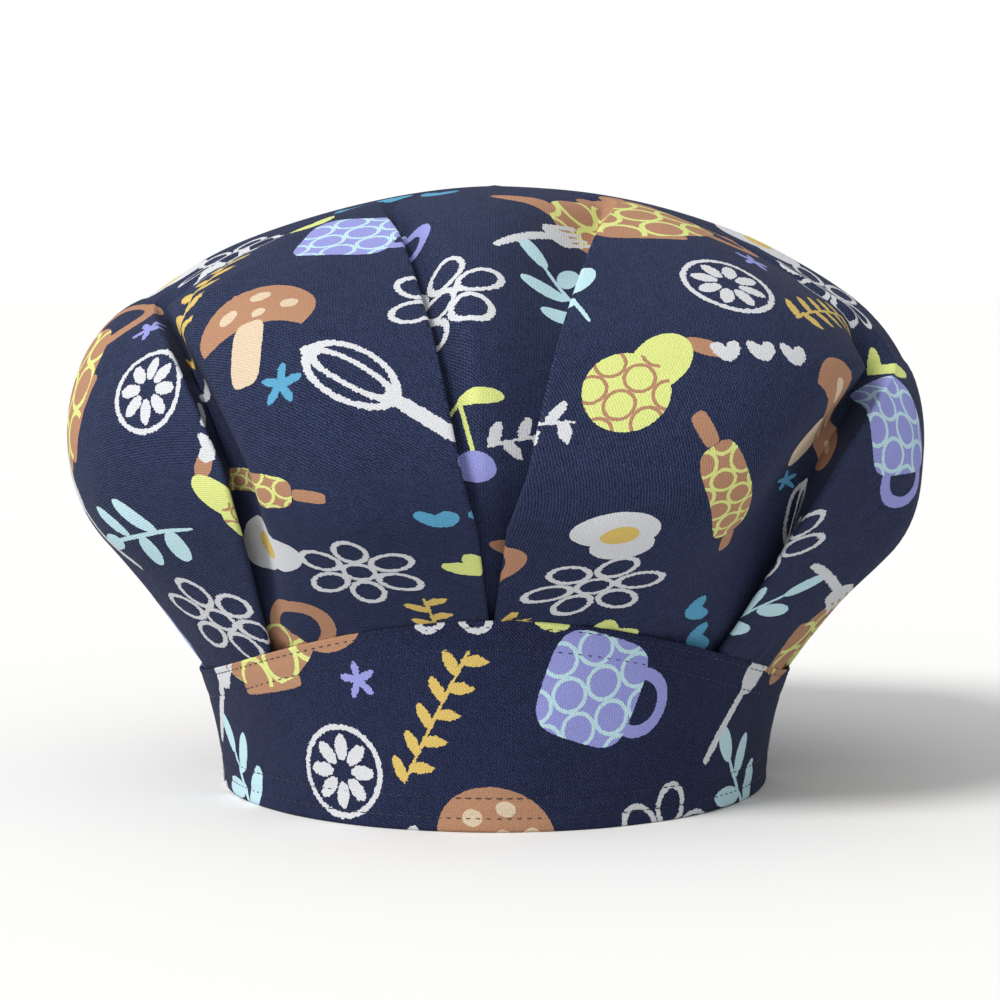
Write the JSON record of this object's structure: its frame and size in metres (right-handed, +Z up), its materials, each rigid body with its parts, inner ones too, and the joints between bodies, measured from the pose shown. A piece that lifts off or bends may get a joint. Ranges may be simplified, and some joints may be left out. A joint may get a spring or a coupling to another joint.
{
  "type": "kitchen cap",
  "caption": "Puffed kitchen cap of printed cotton: a full round crown pleated into a shaped head band that is taller over the forehead.",
  "frame": {"origin": "on the surface the cap stands on, under the middle of the whole cap", "axes": "+Z up, -Y to the front, where the band is tallest, and +X to the viewer's right"},
  "size_m": [0.2702, 0.2682, 0.1906],
  "materials": {
    "printed_cotton": "matt navy cotton twill with a scattered multicolour print",
    "band_cotton": "the same printed twill, doubled and topstitched in dark thread"
  },
  "bodies": {
    "root": {"crown": "printed_cotton", "band": "band_cotton"}
  },
  "joints": []
}
